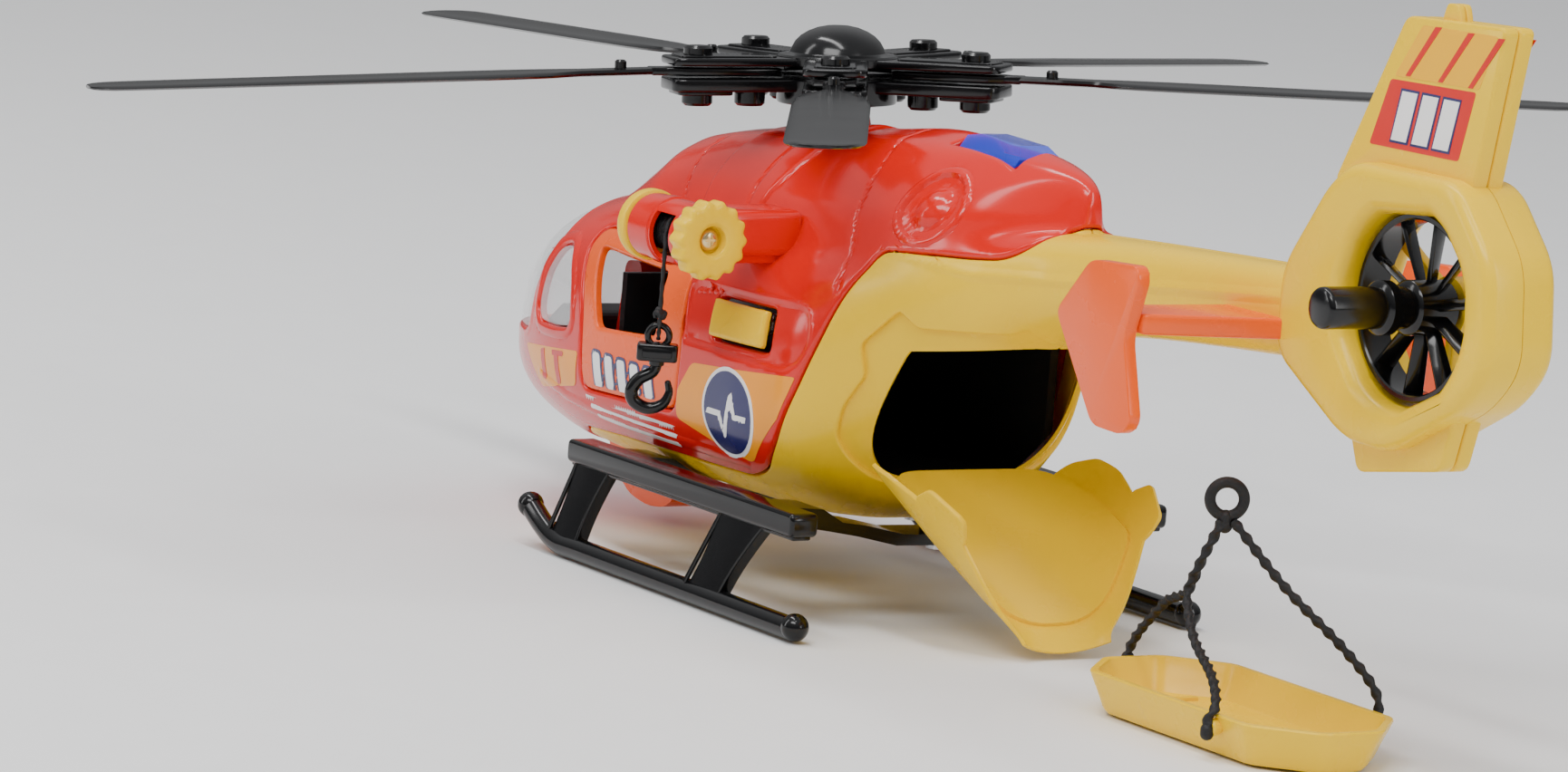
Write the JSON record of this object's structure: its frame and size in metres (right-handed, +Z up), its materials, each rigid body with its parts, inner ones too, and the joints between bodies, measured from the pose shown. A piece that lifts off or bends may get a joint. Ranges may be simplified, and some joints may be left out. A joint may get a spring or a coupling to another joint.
{
  "type": "toy helicopter",
  "caption": "Push-along toy rescue helicopter with turning rotor and tail fan, opening doors and tailgate, hand-wound winch and a loose stretcher.",
  "frame": {"origin": "centre, in plan, of the box around the whole object at rest, on the floor under the skids", "axes": "+X to the nose, +Y to port, +Z up"},
  "size_m": [0.4146, 0.3188, 0.15],
  "materials": {
    "red_plastic": "smooth moulded",
    "yellow_plastic": "smooth moulded",
    "orange_plastic": "smooth moulded",
    "black_plastic": "smooth moulded",
    "clear_plastic": "smooth moulded",
    "blue_lens": "smooth moulded",
    "steel": "smooth moulded",
    "brass_screw": "smooth moulded",
    "circuit_board": "smooth moulded",
    "led_epoxy": "smooth moulded",
    "cord": "smooth moulded"
  },
  "bodies": {
    "fuselage": {"red_upper_shell": "red_plastic", "windscreen": "clear_plastic", "quarter_window_port": "clear_plastic", "quarter_window_starboard": "clear_plastic", "yellow_hull_port": "yellow_plastic", "yellow_hull_starboard": "yellow_plastic", "button_spring": "steel", "cabin_tub": "black_plastic", "front_seat_port": "red_plastic", "front_seat_starboard": "red_plastic", "instrument_panel": "black_plastic", "battery_box": "black_plastic", "button_cell_1": "steel", "button_cell_2": "steel", "button_cell_3": "steel", "battery_cover": "yellow_plastic", "battery_screw": "steel", "circuit_board": "circuit_board", "beacon_led": "led_epoxy", "beacon_lens": "blue_lens", "speaker": "black_plastic", "mast_bush": "black_plastic", "mast_collar": "red_plastic", "fan_axle": "steel", "stabilizer": "orange_plastic", "endplate_port": "orange_plastic", "endplate_starboard": "orange_plastic", "skid_port": "black_plastic", "skid_starboard": "black_plastic", "cross_member_front": "black_plastic", "cross_member_rear": "black_plastic", "skid_screw_front": "steel", "skid_screw_rear": "steel", "search_light": "orange_plastic", "winch_housing": "red_plastic", "winch_cord": "cord"},
    "rotor": {"mast_shaft": "steel", "hub_lower": "black_plastic", "hub_upper": "black_plastic", "rotor_blade_1": "black_plastic", "rotor_blade_2": "black_plastic", "rotor_blade_3": "black_plastic", "rotor_blade_4": "black_plastic", "rotor_blade_5": "black_plastic"},
    "tail_fan": {"tail_fan": "black_plastic"},
    "port_door": {"port_door": "orange_plastic"},
    "starboard_door": {"starboard_door": "orange_plastic"},
    "tailgate": {"tailgate": "yellow_plastic"},
    "push_button": {"push_button": "yellow_plastic"},
    "winch": {"winch_spool": "yellow_plastic", "cord_winding": "cord", "winch_knob": "yellow_plastic", "winch_screw": "brass_screw"},
    "hook": {"cord_loop": "cord", "hook_block": "black_plastic", "hook": "black_plastic"},
    "stretcher": {"stretcher_tray": "yellow_plastic", "stretcher_sling": "black_plastic"}
  },
  "joints": [
    {"name": "rotor_spin", "type": "hinge", "parent": "fuselage", "child": "rotor", "pos_m": [0.0402, -0.00284, 0.105], "axis": [0.0436, 0.0349, 0.9984], "continuous": true},
    {"name": "tail_fan_spin", "type": "hinge", "parent": "fuselage", "child": "tail_fan", "pos_m": [-0.1788, -0.00284, 0.0915], "axis": [0, 1, 0], "continuous": true},
    {"name": "port_door_hinge", "type": "hinge", "parent": "fuselage", "child": "port_door", "pos_m": [0.0808, 0.03536, 0.05], "axis": [0, 0, -1], "range_deg": [0, 70]},
    {"name": "starboard_door_hinge", "type": "hinge", "parent": "fuselage", "child": "starboard_door", "pos_m": [0.0808, -0.04104, 0.05], "axis": [0, 0, 1], "range_deg": [0, 70]},
    {"name": "tailgate_hinge", "type": "hinge", "parent": "fuselage", "child": "tailgate", "pos_m": [-0.0218, -0.00284, 0.029], "axis": [0, 1, 0], "range_deg": [0, 78]},
    {"name": "button_press", "type": "slide", "parent": "fuselage", "child": "push_button", "axis": [0, -1, 0], "range_m": [0, 0.0015], "stiffness_N_per_m": 250, "springref_m": -0.0015, "deforming": ["button_spring"]},
    {"name": "winch_turn", "type": "hinge", "parent": "fuselage", "child": "winch", "pos_m": [0.0062, 0.04966, 0.0785], "axis": [1, 0, 0], "range_deg": [-392, 54]},
    {"name": "hook_lift", "type": "slide", "parent": "fuselage", "child": "hook", "axis": [0, 0, 1], "range_m": [-0.036, 0.005], "deforming": ["winch_cord"]},
    {"name": "stretcher_pull", "type": "slide", "parent": "fuselage", "child": "stretcher", "axis": [-1, 0, 0], "range_m": [0, 0.05]}
  ],
  "couplings": [
    {"joint": "hook_lift", "follows": "winch_turn", "m_per_rad": 0.00525}
  ]
}
